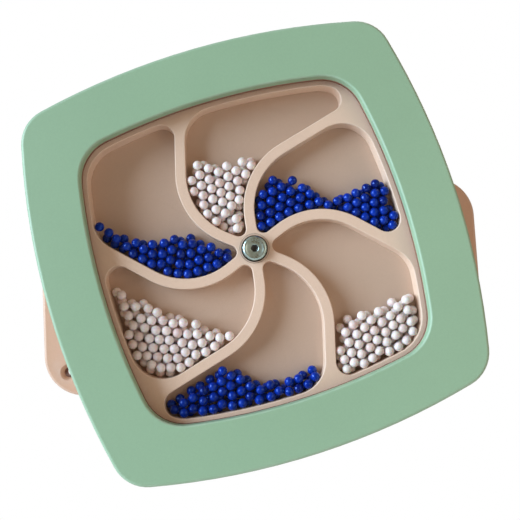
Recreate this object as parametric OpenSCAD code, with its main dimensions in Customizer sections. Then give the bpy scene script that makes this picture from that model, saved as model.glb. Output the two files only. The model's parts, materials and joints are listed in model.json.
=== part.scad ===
// Wall toy with a bead wheel. A square wheel of stacked boards turns on a bolt in front of a wall plate.
// Behind its clear pane six curved pockets hold loose beads, which tumble as the wheel is turned.
// The origin is the middle of the wall plate's back, which is the plane y = 0. The front looks along -Y.

/* [Wheel] */
// Width of the wheel across its flats
wheel_w = 250; // [230:1:280]
// Radius of the wheel's bowed sides
wheel_bow_r = 438; // [380:1:600]
// Radius of the wheel's corners
wheel_corner_r = 22; // [12:1:34]
// Turn of the wheel at rest, anticlockwise seen from the front
wheel_turn = 14; // [10:0.5:18]
// Running gap between the wheel and what it turns against
wheel_play = 0.3; // [0.2:0.1:0.6]

/* [Front frame] */
// Thickness of the frame board
frame_t = 12; // [9:0.5:18]
// Width of the frame's band at the middle of a side
frame_band_w = 32; // [26:1:40]
// Radius of the window's bowed sides
window_bow_r = 380; // [320:1:480]
// Radius of the window's corners
window_corner_r = 25.5; // [16:0.5:34]
// Rounding of the frame's front edges
frame_edge_r = 2.5; // [1:0.5:4]

/* [Pane] */
// Thickness of the clear pane
pane_t = 3; // [2:0.5:5]
// Width of the ledge by which the frame laps the pane
pane_lap_w = 5; // [3:0.5:8]
// Gap around the pane in its rebate
pane_gap = 0.4; // [0.2:0.1:0.8]
// Diameter of the pane's hole round the bolt head
pane_hole_d = 17.5; // [16.5:0.5:19]

/* [Vane board] */
// Thickness of the vane board, which is the depth of the pockets
vane_board_t = 11; // [9:0.5:14]
// Width of a vane
vane_w = 6.4; // [4:0.1:8]
// Direction in which the first vane leaves the hub
vane_lead = 21.4; // [15:0.1:27]
// Distance from the axis at which a vane starts to bend
vane_start_r = 19.5; // [17:0.5:24]
// Radius of a vane's bend
vane_bow_r = 42.2; // [36:0.1:48]
// Angle through which a vane bends
vane_sweep = 66.7; // [58:0.1:74]
// Rounding of a pocket at the hub
hub_round_r = 4.4; // [3.5:0.1:5.5]
// Rounding of a pocket where it closes on a vane at the rim
tight_round_r = 8; // [5:0.5:10]
// Rounding of a pocket where it opens from a vane at the rim
wide_round_r = 20; // [10:0.5:24]
// Width of the pocket rim that shows inside the window
rim_show_w = 2.1; // [1.5:0.1:5]

/* [Back board] */
// Thickness of the back board
back_board_t = 8; // [6:0.5:12]

/* [Frame screws] */
// Diameter of the screws that hold the wheel together
screw_d = 4; // [3:0.5:5]
// Diameter of their countersunk heads
screw_head_d = 8; // [6.5:0.5:10]
// Length of the screws
screw_l = 25; // [22:1:28]

/* [Pivot] */
// Diameter of the pivot bolt
bolt_d = 6; // [5:0.5:8]
// Diameter of the bolt's head
bolt_head_d = 14.6; // [12:0.1:16]
// Thickness of the bolt's head
bolt_head_t = 2.6; // [2:0.1:4]
// Width of the bolt's hexagon socket across its flats
bolt_socket_w = 4; // [3:0.5:5]
// Outer diameter of the sleeve that the wheel turns on
sleeve_d = 10; // [9:0.5:11]
// Outer diameter of the hub bush
bush_d = 14; // [13:0.5:16]
// Diameter of the flange on the hub bush
bush_flange_d = 20; // [18:0.5:26]
// Thickness of the flange on the hub bush
bush_flange_t = 1.5; // [1:0.1:3]
// Diameter of the spacer behind the wheel
spacer_d = 32; // [24:1:44]
// Thickness of the spacer behind the wheel
spacer_t = 3.7; // [2:0.1:8]
// Diameter of the washer under the bolt's head
head_washer_d = 16; // [15.2:0.1:16.4]
// Thickness of the washer under the bolt's head
head_washer_t = 1; // [0.5:0.1:2]
// Width of the lock nut across its flats
nut_w = 10; // [8.5:0.5:12]
// Height of the lock nut
nut_h = 5.8; // [5:0.1:7]
// Diameter of the washer under the lock nut
nut_washer_d = 16; // [14:0.5:20]
// Thickness of the washer under the lock nut
nut_washer_t = 1.6; // [1:0.1:2]

/* [Wall plate] */
// Width of the wall plate
plate_w = 278; // [240:1:320]
// Height of the wall plate
plate_h = 126; // [100:1:160]
// Thickness of the wall plate
plate_t = 12; // [10:0.5:18]
// Radius of the wall plate's corners
plate_corner_r = 25; // [15:1:40]
// Rounding of the wall plate's front edges
plate_edge_r = 2; // [1:0.5:4]
// Height of the turning axis above the middle of the wall plate
plate_drop = 21; // [0:1:30]
// Distance of the turning axis to the left of the middle of the wall plate
plate_side = 4.8; // [0:0.1:12]
// Diameter of the wall screw holes
wall_hole_d = 6.2; // [4:0.1:8]
// Diameter of the countersinks of the wall screw holes
wall_sink_d = 10.4; // [9:0.1:13]
// Distance of the wall screw holes from the plate's edges
wall_hole_inset = 15; // [10:1:24]

/* [Beads] */
// Diameter of a bead
bead_d = 5.8; // [5:0.1:6.4]
// Spacing of the beads where they are first laid out
bead_pitch = 6.6; // [6.3:0.1:8]

/* [Hidden] */
$fn = 96;
// Length by which every cut runs past the face it opens
overrun = 1;
// Gap between a fixed pin or plug and its hole
slip_gap = 0.1;
// Running gap between the sleeve and the hub bush, on the radius
bearing_gap = 0.05;
// Fineness of the outlines: sag of an arc's chords, angle along the pocket field's rim,
// and steps along a bowed side, round a corner and over a rounded edge of the frame
arc_sag = 0.04;
field_step = 2;
side_steps = 16;
corner_steps = 8;
round_steps = 4;
// Depth of the countersunk heads and sinks
screw_head_h = (screw_head_d - screw_d) / 2;
wall_sink_h = (wall_sink_d - wall_hole_d) / 2;
// Bevel of the bolt head, depth of its socket and set-back of the bolt's end from the wall
bolt_bevel = 0.9;
bolt_socket_h = 1.8;
bolt_setback = 0.8;
// Nylon ring and collar of the lock nut
nut_ring_h = 1.4;
nut_ring_wall = 1;
nut_collar_wall = 0.6;
// Room round the lock nut's washer in the plate
nut_room = 2;
// Least gaps between settled beads and from a bead to a wall
bead_gap = 0.12;
wall_gap = 0.1;
// Scatter of the first layout, rounds of settling and fall in each round
bead_scatter = 0.8;
settle_fall = 0.05;
settle_share = 0.5;
settle_turns = 150;
calm_share = 0.6;

// Stack of boards, measured from the wall
wheel_back_z = plate_t + spacer_t + wheel_play;
vane_z = wheel_back_z + back_board_t;
pane_z = vane_z + vane_board_t;
head_washer_z = pane_z + wheel_play;
bolt_head_z = head_washer_z + head_washer_t;
nut_recess_h = bolt_setback + nut_h + nut_washer_t;

// Outlines: the wheel, the window, and the pocket field inside the window
wheel_half = wheel_w / 2;
window_half = wheel_half - frame_band_w;
field_half = window_half - rim_show_w;
field_bow_r = window_bow_r - rim_show_w;
field_corner_r = window_corner_r - rim_show_w;
field_corner = corner_at(field_half, field_bow_r, field_corner_r);
field_turn = side_turn(field_half, field_bow_r, field_corner_r);

// Vanes, counted anticlockwise; pocket k lies between vane k and vane k + 1
vane_count = 6;
vane_step = 360 / vane_count;
vane_tail = vane_lead - vane_sweep;
bend_start = vane_start_r * along(vane_lead);
bend_centre = bend_start - vane_bow_r * across(vane_lead);
bend_end = bend_centre + vane_bow_r * across(vane_tail);

// Tops of the bead piles at rest, left, middle and right, across and up from the axis,
// as shares of half the wheel's width; one row for each pocket
pile_shares = [
    [[0.08, 0.41], [0.40, 0.25], [0.64, 0.35]],
    [[-0.30, 0.48], [-0.06, 0.435], [0.02, 0.475]],
    [[-0.75, 0.19], [-0.62, 0.08], [-0.10, 0.11]],
    [[-0.67, -0.14], [-0.44, -0.27], [-0.14, -0.40]],
    [[-0.20, -0.54], [0.10, -0.645], [0.29, -0.56]],
    [[0.39, -0.36], [0.58, -0.30], [0.78, -0.225]],
];
// Turn of the first layout in each pocket
layout_turns = [8, 21, 3, 35, 14, 27];

peach = [0.87, 0.76, 0.68];
mint = [0.58, 0.73, 0.63];
steel = [0.55, 0.58, 0.57];
nylon = [0.90, 0.90, 0.87];
clear = [0.85, 0.92, 0.95, 0.25];
blue = [0.08, 0.20, 0.75];
white = [0.93, 0.90, 0.90];

// Plane vectors: along a direction, across it to its left, and back to its angle
function along(angle) = [cos(angle), sin(angle)];
function across(angle) = [-sin(angle), cos(angle)];
function angle_of(v) = atan2(v.y, v.x);
function turned(p, angle) = [p.x * cos(angle) - p.y * sin(angle), p.x * sin(angle) + p.y * cos(angle)];
function unit(v) = v / norm(v);
function limited(value, low, high) = min(max(value, low), high);

// Bowed square: where its corner arcs are centred, how far a side arc turns either way,
// and how far a corner reaches
function corner_at(half, bow, r) =
    let (run = bow - half, reach = bow - r)
    (sqrt(2 * reach * reach - run * run) - run) / 2;
function side_turn(half, bow, r) =
    let (k = corner_at(half, bow, r))
    angle_of([k + bow - half, k]);
function corner_reach(half, bow, r) = corner_at(half, bow, r) * sqrt(2) + r;

// Points along an arc, its chords no further from it than the sag;
// and an angle written as the next one past another
function arc_points(centre, r, from, to) =
    let (steps = ceil(abs(to - from) / (2 * acos(1 - arc_sag / r))))
    [for (i = [0:steps]) centre + r * along(from + (to - from) * i / steps)];
function past(angle, from) = angle - 360 * floor((angle - from) / 360);

// Points round a bowed square
function bowed_outline(half, bow, r) =
    let (k = corner_at(half, bow, r),
         a = side_turn(half, bow, r))
    [for (s = [0:3])
        each concat(
            [for (i = [0:side_steps - 1])
                turned([half - bow, 0] + bow * along(a * (2 * i / side_steps - 1)), 90 * s)],
            [for (i = [0:corner_steps - 1])
                turned([k, k] + r * along(a + (90 - 2 * a) * i / corner_steps), 90 * s)])];

// Pocket field: the arc of its outline nearest to a point, the way out there,
// and the point's depth inside the outline
function field_arc(p) =
    let (quarter = 90 * round(angle_of(p) / 90),
         q = turned(p, -quarter),
         on_side = abs(angle_of(q - [field_half - field_bow_r, 0])) <= field_turn)
    on_side ? [turned([field_half - field_bow_r, 0], quarter), field_bow_r]
        : [turned([field_corner, field_corner * sign(q.y)], quarter), field_corner_r];
function field_out(p) = unit(p - field_arc(p)[0]);
function field_depth(p) =
    let (arc = field_arc(p))
    arc[1] - norm(p - arc[0]);

// Vane k beside a point: the point's distance to the left of its centreline, and the way left there
function beside_vane(p, k) =
    let (q = turned(p, -vane_step * k),
         beside = (q - bend_start) * along(vane_lead) < 0
             ? [(q - bend_start) * across(vane_lead), across(vane_lead)]
             : (q - bend_end) * along(vane_tail) > 0
             ? [(q - bend_end) * across(vane_tail), across(vane_tail)]
             : [norm(q - bend_centre) - vane_bow_r, unit(q - bend_centre)])
    [beside[0], turned(beside[1], vane_step * k)];

// Point on the straight tail of vane k, a run past its bend and an offset to its left
function tail_point(k, run, offset) =
    turned(bend_end + run * along(vane_tail) + offset * across(vane_tail), vane_step * k);

// Run along vane k at which a point at the offset lies at the depth inside the field, found by halving
function tail_run(k, offset, depth, low = 0, high = wheel_half, halvings = 40) =
    let (middle = (low + high) / 2)
    halvings == 0 ? middle
        : field_depth(tail_point(k, middle, offset)) > depth
        ? tail_run(k, offset, depth, middle, high, halvings - 1)
        : tail_run(k, offset, depth, low, middle, halvings - 1);

// Roundings of a pocket, each a centre, a radius and the ways to the two walls that it joins:
// at the rim, left or right of vane k, and at the hub between vane k and the next
function rim_rounding(k, side) =
    let (r = side > 0 ? tight_round_r : wide_round_r,
         offset = side * (vane_w / 2 + r),
         at = tail_point(k, tail_run(k, offset, r), offset))
    [at, r, -side * across(vane_tail + vane_step * k), field_out(at)];
function hub_rounding(k) =
    [(hub_round_r + vane_w / 2) / sin(vane_step / 2) * along(vane_lead + vane_step * (k + 1 / 2)),
        hub_round_r, -across(vane_lead + vane_step * k), across(vane_lead + vane_step * (k + 1))];
function roundings(k) = [rim_rounding(k, 1), rim_rounding(k + 1, -1), hub_rounding(k)];

// Points of the field's outline in the directions between two angles, and how far it reaches at an angle
function field_points(from, to) =
    let (steps = ceil((to - from) / field_step))
    [for (i = [1:steps - 1])
        let (angle = from + (to - from) * i / steps)
        field_reach(angle) * along(angle)];
function field_reach(angle) =
    let (quarter = 90 * round(angle / 90),
         way = along(angle - quarter),
         side_centre = [field_half - field_bow_r, 0],
         on_side = abs(angle - quarter) <= angle_of(side_centre + field_bow_r * along(field_turn)),
         centre = on_side ? side_centre : field_corner * [1, sign(angle - quarter)],
         r = on_side ? field_bow_r : field_corner_r)
    way * centre + sqrt((way * centre) ^ 2 - centre * centre + r * r);

// Outline of pocket k: out along vane k, round the rim, in along the next vane, and round the hub
function bend_points(k, offset, from, to) =
    arc_points(turned(bend_centre, vane_step * k), vane_bow_r + offset,
        from + 90 + vane_step * k, to + 90 + vane_step * k);
function rounding_points(rounding, from_way, to_way) =
    let (from = angle_of(from_way))
    arc_points(rounding[0], rounding[1], from, past(angle_of(to_way), from));
function pocket_outline(k) =
    let (rounds = roundings(k),
         first = rounds[0],
         last = rounds[1],
         hub = rounds[2],
         rim_from = angle_of(first[0] + first[1] * first[3]),
         rim_to = past(angle_of(last[0] + last[1] * last[3]), rim_from))
    concat(
        bend_points(k, vane_w / 2, vane_lead, vane_tail),
        rounding_points(first, first[2], first[3]),
        field_points(rim_from, rim_to),
        rounding_points(last, last[3], last[2]),
        bend_points(k + 1, -vane_w / 2, vane_tail, vane_lead),
        rounding_points(hub, hub[3], hub[2]));

// Moves that bring a bead back from the vane on one side, from the rim and from a rounding
function off_vane(p, k, side) =
    let (beside = beside_vane(p, k),
         room = side * beside[0] - (vane_w + bead_d) / 2 - wall_gap)
    room >= 0 ? p : p - room * side * beside[1];
function off_rim(p) =
    let (room = field_depth(p) - bead_d / 2 - wall_gap)
    room >= 0 ? p : p + room * field_out(p);
function off_rounding(p, rounding) =
    let (q = p - rounding[0],
         middle = unit(rounding[2] + rounding[3]),
         room = rounding[1] - bead_d / 2 - wall_gap)
    norm(q) > room && q * middle > norm(q) * (rounding[2] * middle) ? rounding[0] + unit(q) * room : p;
function in_pocket(p, k, rounds) =
    off_rounding(off_rounding(off_rounding(off_rim(off_vane(off_vane(p, k, 1), k + 1, -1)),
        rounds[0]), rounds[1]), rounds[2]);
function in_depth(z) = limited(z, bead_d / 2 + wall_gap, vane_board_t - bead_d / 2 - wall_gap);
function kept_in(p, k, rounds) =
    let (q = in_pocket([p.x, p.y], k, rounds))
    [q.x, q.y, in_depth(p.z)];

// First layout of pocket k: two nested layers of a hexagonal pattern, cut by the pocket and by the pile's top
function between_vanes(p, k) = beside_vane(p, k)[0] > 0 && beside_vane(p, k + 1)[0] < 0;
function under_pile(p, k) =
    let (upright = turned(p, wheel_turn) / wheel_half)
    upright.y < lookup(upright.x, pile_shares[k]);
function layout(k, rounds) =
    let (rows = ceil(wheel_half / bead_pitch / cos(30)),
         way = along(vane_lead + vane_step * (k + 1 / 2)))
    [for (layer = [0, 1], row = [-rows:rows], column = [-2 * rows:2 * rows])
        let (nest = layer * bead_pitch * [1 / 2, tan(30) / 2],
             p = turned(bead_pitch * [column + row / 2, row * cos(30)] + nest, layout_turns[k]))
        if (norm(p) < wheel_half && p * way > -vane_bow_r)
            if (under_pile(p, k) && between_vanes(p, k))
                if (norm(in_pocket(p, k, rounds) - p) < bead_scatter)
                    [p.x, p.y, in_depth(layer * vane_board_t)]];
function scattered(beads, k) =
    let (draws = rands(-bead_scatter, bead_scatter, 3 * len(beads), k))
    [for (i = [0:len(beads) - 1]) beads[i] + [draws[3 * i], draws[3 * i + 1], draws[3 * i + 2]]];

// Settling: beads that crowd each other part, all fall a little, and the pocket keeps them in;
// one that still crowds an earlier one in the end is left out
function parted(beads, i) =
    let (spacing = bead_d + bead_gap,
         pushes = [for (bead = beads)
             let (v = beads[i] - bead, d = norm(v))
             if (d < spacing && d > 0) v * (spacing - d) / d])
    len(pushes) == 0 ? [0, 0, 0] : [for (push = pushes) settle_share] * pushes;
function settled(beads, k, rounds, turns) =
    turns == 0 ? beads
    : let (fall = turns > settle_turns * calm_share ? settle_fall : 0,
           drop = -fall * [sin(wheel_turn), cos(wheel_turn), 0])
      settled([for (i = [0:len(beads) - 1]) kept_in(beads[i] + parted(beads, i) + drop, k, rounds)],
          k, rounds, turns - 1);
function uncrowded(beads) =
    [for (i = [0:len(beads) - 1])
        if (min([for (j = [0:i]) j == i ? wheel_w : norm(beads[i] - beads[j])]) > bead_d + bead_gap / 2)
            beads[i]];
function pile(k) =
    let (rounds = roundings(k))
    uncrowded(settled(scattered(layout(k, rounds), k), k, rounds, settle_turns));

// Places a child on the turning axis at a distance from the wall, drawn as seen from the front
module on_wall(z) {
    rotate([90, 0, 0])
        translate([-plate_side, plate_drop, z])
            children();
}
// The same, turned with the wheel
module on_wheel(z) {
    on_wall(z)
        rotate(wheel_turn)
            children();
}

// Profile that takes a round edge off the top of a board, outwards being +X
module edge_profile(top, r) {
    difference() {
        translate([-r, top - r])
            square(r + overrun);
        translate([-r, top - r])
            circle(r);
    }
}

module bored_disc(d, bore_d, h) {
    difference() {
        cylinder(d = d, h = h);
        translate([0, 0, -overrun])
            cylinder(d = bore_d, h = h + 2 * overrun);
    }
}

module bore(d, h) {
    translate([0, 0, -overrun])
        cylinder(d = d, h = h + 2 * overrun);
}

// Places of the screws that hold the wheel together, in the middle of each side and in each corner
module at_frame_screws() {
    lap_half = window_half + pane_lap_w;
    side_r = (wheel_half + lap_half) / 2;
    corner_r = (corner_reach(wheel_half, wheel_bow_r, wheel_corner_r)
        + corner_reach(lap_half, window_bow_r + pane_lap_w, window_corner_r + pane_lap_w)) / 2;
    for (s = [0:3]) {
        rotate(90 * s)
            translate([side_r, 0])
                children();
        rotate(90 * s + 45)
            translate([corner_r, 0])
                children();
    }
}

// Places at a distance from the edges in the wall plate's corners, each turned with its corner
module at_plate_corners(inset) {
    for (s = [0:3])
        translate([sign(cos(90 * s + 45)) * (plate_w / 2 - inset),
                   sign(sin(90 * s + 45)) * (plate_h / 2 - inset)])
            rotate(90 * s)
                children();
}

// Wall plate: a rounded board with countersunk corner holes and a recess behind for the nut
module wall_plate() {
    color(peach)
        on_wall(0)
            difference() {
                translate([plate_side, -plate_drop])
                    plate_body();
                translate([plate_side, -plate_drop])
                    at_plate_corners(wall_hole_inset) {
                        bore(wall_hole_d, plate_t);
                        translate([0, 0, plate_t - wall_sink_h])
                            cylinder(d1 = wall_hole_d, d2 = wall_sink_d, h = wall_sink_h);
                    }
                bore(bolt_d + 2 * slip_gap, plate_t);
                translate([0, 0, -overrun])
                    cylinder(d = nut_washer_d + nut_room, h = nut_recess_h + overrun);
            }
}

module plate_body() {
    straight_w = plate_w - 2 * plate_corner_r;
    straight_h = plate_h - 2 * plate_corner_r;
    difference() {
        linear_extrude(plate_t) {
            square([straight_w, plate_h], center = true);
            square([plate_w, straight_h], center = true);
            at_plate_corners(plate_corner_r)
                circle(plate_corner_r);
        }
        for (s = [0, 180]) {
            rotate(s)
                plate_edge(plate_w, straight_h);
            rotate(s + 90)
                plate_edge(plate_h, straight_w);
        }
        at_plate_corners(plate_corner_r)
            rotate_extrude(angle = 90)
                translate([plate_corner_r, 0])
                    edge_profile(plate_t, plate_edge_r);
    }
}

// Rounding along one straight edge of the wall plate, square to +X
module plate_edge(across_w, edge_l) {
    translate([across_w / 2, edge_l / 2, 0])
        rotate([90, 0, 0])
            linear_extrude(edge_l)
                edge_profile(plate_t, plate_edge_r);
}

module rear_spacer() {
    color(nylon)
        on_wall(plate_t)
            bored_disc(spacer_d, sleeve_d + 2 * slip_gap, spacer_t);
}

// Sleeve that the head's washer clamps to the wall plate, and that the wheel turns on
module pivot_sleeve() {
    color(steel)
        on_wall(plate_t)
            bored_disc(sleeve_d, bolt_d + 2 * slip_gap, head_washer_z - plate_t);
}

module pivot_bolt() {
    color(steel)
        on_wall(0)
            difference() {
                union() {
                    translate([0, 0, bolt_setback])
                        cylinder(d = bolt_d, h = bolt_head_z - bolt_setback + overrun);
                    translate([0, 0, bolt_head_z])
                        cylinder(d = bolt_head_d, h = bolt_head_t - bolt_bevel);
                    translate([0, 0, bolt_head_z + bolt_head_t - bolt_bevel])
                        cylinder(d1 = bolt_head_d, d2 = bolt_head_d - 2 * bolt_bevel, h = bolt_bevel);
                }
                translate([0, 0, bolt_head_z + bolt_head_t - bolt_socket_h])
                    cylinder(d = bolt_socket_w / cos(30), h = bolt_socket_h + overrun, $fn = 6);
            }
}

module head_washer() {
    color(steel)
        on_wall(head_washer_z)
            bored_disc(head_washer_d, bolt_d + 2 * slip_gap, head_washer_t);
}

module nut_washer() {
    color(steel)
        on_wall(bolt_setback + nut_h)
            bored_disc(nut_washer_d, bolt_d + 2 * slip_gap, nut_washer_t);
}

// Lock nut: a hexagon with a round collar towards the wall, which holds the nylon ring
module lock_nut() {
    ring_d = bolt_d + 2 * slip_gap + 2 * nut_ring_wall;
    color(steel)
        on_wall(bolt_setback)
            difference() {
                union() {
                    translate([0, 0, nut_ring_h])
                        cylinder(d = nut_w / cos(30), h = nut_h - nut_ring_h, $fn = 6);
                    cylinder(d = nut_w - 2 * nut_collar_wall, h = nut_ring_h + overrun);
                }
                bore(bolt_d + 2 * slip_gap, nut_h);
                translate([0, 0, -overrun])
                    cylinder(d = ring_d, h = nut_ring_h + overrun);
            }
}

module lock_nut_ring() {
    color(blue)
        on_wall(bolt_setback)
            bored_disc(bolt_d + 2 * nut_ring_wall, bolt_d + slip_gap, nut_ring_h);
}

module back_board() {
    color(peach)
        on_wheel(wheel_back_z)
            difference() {
                linear_extrude(back_board_t)
                    polygon(bowed_outline(wheel_half, wheel_bow_r, wheel_corner_r));
                bore(bush_d + 2 * slip_gap, back_board_t);
                translate([0, 0, -overrun])
                    cylinder(d = bush_flange_d + 2 * slip_gap, h = bush_flange_t + overrun);
                at_frame_screws() {
                    bore(screw_d + 2 * slip_gap, back_board_t);
                    cylinder(d1 = screw_head_d + 2 * slip_gap, d2 = screw_d + 2 * slip_gap, h = screw_head_h);
                }
            }
}

// Vane board: six round-cornered pockets leave a rim and six bent vanes round a hub
module vane_board() {
    color(peach)
        on_wheel(vane_z)
            difference() {
                linear_extrude(vane_board_t)
                    polygon(bowed_outline(wheel_half, wheel_bow_r, wheel_corner_r));
                for (k = [0:vane_count - 1])
                    translate([0, 0, -overrun])
                        linear_extrude(vane_board_t + 2 * overrun)
                            polygon(pocket_outline(k));
                bore(bush_d + 2 * slip_gap, vane_board_t);
                at_frame_screws()
                    bore(screw_d + 2 * slip_gap, vane_board_t);
            }
}

// Flanged bush in the hub, which turns on the sleeve
module hub_bush() {
    color(nylon)
        on_wheel(wheel_back_z)
            difference() {
                union() {
                    cylinder(d = bush_d, h = back_board_t + vane_board_t);
                    cylinder(d = bush_flange_d, h = bush_flange_t);
                }
                bore(sleeve_d + 2 * bearing_gap, back_board_t + vane_board_t);
            }
}

module window_pane() {
    grow = pane_lap_w - pane_gap;
    color(clear)
        on_wheel(pane_z)
            difference() {
                linear_extrude(pane_t)
                    polygon(bowed_outline(window_half + grow, window_bow_r + grow, window_corner_r + grow));
                bore(pane_hole_d, pane_t);
            }
}

// Front frame: a bowed square ring lofted through its section, with rounded front edges
// and a rebate for the pane
module front_frame() {
    rounded = [for (i = [0:round_steps])
        [0, frame_t] + frame_edge_r * (along(90 * i / round_steps) - [1, 1])];
    lines = concat(
        [wheel_line([0, 0])],
        [for (step = rounded) wheel_line(step)],
        [for (i = [round_steps:-1:0]) window_line([-rounded[i].x, rounded[i].y])],
        [window_line([0, pane_t]), window_line([pane_lap_w, pane_t]), window_line([pane_lap_w, 0])]);
    color(mint)
        on_wheel(pane_z)
            difference() {
                ring_loft(lines);
                at_frame_screws()
                    bore(screw_d + 2 * slip_gap, screw_l - back_board_t - vane_board_t);
            }
}

// Lines round the frame: the outline of the wheel or of the window, grown by step.x and raised to step.y
function wheel_line(step) =
    raised(bowed_outline(wheel_half + step.x, wheel_bow_r + step.x, wheel_corner_r + step.x), step.y);
function window_line(step) =
    raised(bowed_outline(window_half + step.x, window_bow_r + step.x, window_corner_r + step.x), step.y);
function raised(points, z) = [for (p = points) [p.x, p.y, z]];

// Closed ring through lines that follow each other round its section
module ring_loft(lines) {
    count = len(lines);
    points = len(lines[0]);
    polyhedron(
        points = [for (line = lines) each line],
        faces = [for (i = [0:count - 1], j = [0:points - 1])
            let (next = (i + 1) % count, on = (j + 1) % points)
            [i * points + j, next * points + j, next * points + on, i * points + on]]);
}

module frame_screws() {
    color(steel)
        on_wheel(wheel_back_z)
            at_frame_screws() {
                cylinder(d1 = screw_head_d, d2 = screw_d, h = screw_head_h);
                cylinder(d = screw_d, h = screw_l);
            }
}

// Beads of pocket k, settled in a pile
module bead_pile(k) {
    on_wheel(vane_z)
        for (p = pile(k))
            translate(p)
                sphere(d = bead_d);
}

wall_plate();
rear_spacer();
pivot_sleeve();
pivot_bolt();
head_washer();
nut_washer();
lock_nut();
lock_nut_ring();
back_board();
vane_board();
hub_bush();
window_pane();
front_frame();
frame_screws();
color(blue) bead_pile(0);  // blue_beads_upper_right
color(white) bead_pile(1);  // white_beads_top
color(blue) bead_pile(2);  // blue_beads_upper_left
color(white) bead_pile(3);  // white_beads_lower_left
color(blue) bead_pile(4);  // blue_beads_bottom
color(white) bead_pile(5);  // white_beads_lower_right
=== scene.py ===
"""Dresses a wall toy with a bead wheel: soft-edged boards, loose beads, a clear pane and the pivot's fasteners.

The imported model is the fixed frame. Outlines and the beads' places are read from it, in metres.
"""

import json
import math
import random

import bmesh
import bpy
from bpy.props import FloatProperty, FloatVectorProperty, IntProperty, PointerProperty
from mathutils import Euler, Matrix, Vector


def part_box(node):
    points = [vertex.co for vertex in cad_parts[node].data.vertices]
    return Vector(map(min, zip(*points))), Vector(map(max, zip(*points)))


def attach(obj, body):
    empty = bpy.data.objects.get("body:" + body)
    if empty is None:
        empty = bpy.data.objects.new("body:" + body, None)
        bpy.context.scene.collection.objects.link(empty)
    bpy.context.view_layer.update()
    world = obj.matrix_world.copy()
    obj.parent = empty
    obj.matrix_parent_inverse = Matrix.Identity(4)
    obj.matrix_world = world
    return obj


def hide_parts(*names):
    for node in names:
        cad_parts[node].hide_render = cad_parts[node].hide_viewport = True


bl_info = {
    "name": "Bead Wheel Wall Toy",
    "version": (1, 0, 0),
    "blender": (4, 5, 0),
    "location": "3D View > Sidebar > Bead Wheel",
    "description": "Builds the looks of a wall toy with a bead wheel around its packed model",
    "category": "Object",
}

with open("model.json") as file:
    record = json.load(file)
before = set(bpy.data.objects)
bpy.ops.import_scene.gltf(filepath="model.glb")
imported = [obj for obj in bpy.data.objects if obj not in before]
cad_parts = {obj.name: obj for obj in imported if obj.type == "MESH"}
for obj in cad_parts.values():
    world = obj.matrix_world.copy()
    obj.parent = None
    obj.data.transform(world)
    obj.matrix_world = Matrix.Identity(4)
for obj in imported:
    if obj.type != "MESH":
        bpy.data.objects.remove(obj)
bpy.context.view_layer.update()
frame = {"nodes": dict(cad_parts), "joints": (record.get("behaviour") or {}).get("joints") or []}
AXIS = Vector((frame["joints"][0]["pos_m"][0], frame["joints"][0]["pos_m"][2]))
FORWARD = (0.0, -1.0, 0.0)
MM = 0.001

# Points nearer than WELD are one point, and a face within FLAT of a depth lies at that depth
WELD = 0.001 * MM
FLAT = 0.01 * MM

# Points round a turned piece, round a screw and round a bead
ROUND_COUNT = 72
SCREW_COUNT = 24
BEAD_COUNT = 22

# Facets over a small rounding in front and over one behind
SMALL_STEPS = 3
BACK_STEPS = 2

# Place of a piece's second finish in its list of materials
SECOND_FINISH = 1

# Holes up to SCREW_REACH from their middle take a screw, and openings wider than POCKET_LEAST are pockets
SCREW_REACH = 6 * MM
POCKET_LEAST = 30 * MM

# Thickness of the bush's flange
BUSH_FLANGE = 1.5 * MM


# Settings

def colour_setting(name, description, default):
    return FloatVectorProperty(name=name, description=description, default=default,
                               subtype="COLOR", size=3, min=0.0, max=1.0)


def length_setting(name, description, default):
    return FloatProperty(name=name, description=description, default=default, min=0.0,
                         subtype="DISTANCE", unit="LENGTH", precision=5)


def share_setting(name, description, default):
    return FloatProperty(name=name, description=description, default=default, min=0.0, max=1.0, subtype="FACTOR")


class BoardSettings(bpy.types.PropertyGroup):
    """Colours and edges of the lacquered boards"""
    mint: colour_setting("Mint", "Lacquer of the front frame", (0.305, 0.490, 0.325))
    peach: colour_setting("Peach", "Lacquer of the vane board and the back board", (0.820, 0.615, 0.475))
    # The pockets' floors take a darker copy of the peach, as painted shade where the floors lie deep in the pockets
    deep_peach: colour_setting("Deep peach", "Lacquer of the pockets' floors", (0.590, 0.433, 0.330))
    # The wall plate takes a darker, warmer copy of the peach lacquer, as painted shade
    tan: colour_setting("Tan", "Lacquer of the wall plate", (0.650, 0.420, 0.295))
    # Dark reddish brown as painted shade in the wall plate's holes and at the foot of the window's wall
    bare: colour_setting("Bare board", "Board in holes and at the window's foot, where no lacquer reaches",
                         (0.300, 0.140, 0.095))
    frame_round: length_setting("Frame rounding", "Rounding of the frame's outer front edge", 2.2 * MM)
    window_round: length_setting("Window rounding", "Rounding of the window's front edge", 1.3 * MM)
    plate_round: length_setting("Plate rounding", "Rounding of the wall plate's front edges", 2.0 * MM)
    back_round: length_setting("Back rounding", "Rounding of the back board's rear edge", 1.2 * MM)
    # Height of the painted shade band at the foot of the window's wall
    bare_foot: length_setting("Bare foot", "Height of bare board at the foot of the window's wall", 2.8 * MM)
    pocket_round: length_setting("Pocket rounding", "Rounding of the pockets' front edges", 0.55 * MM)
    arris: length_setting("Arris", "Small rounding of every other board edge", 0.4 * MM)
    round_steps: IntProperty(name="Rounding steps", description="Facets over a rounded edge", default=6, min=2, max=16)


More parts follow.
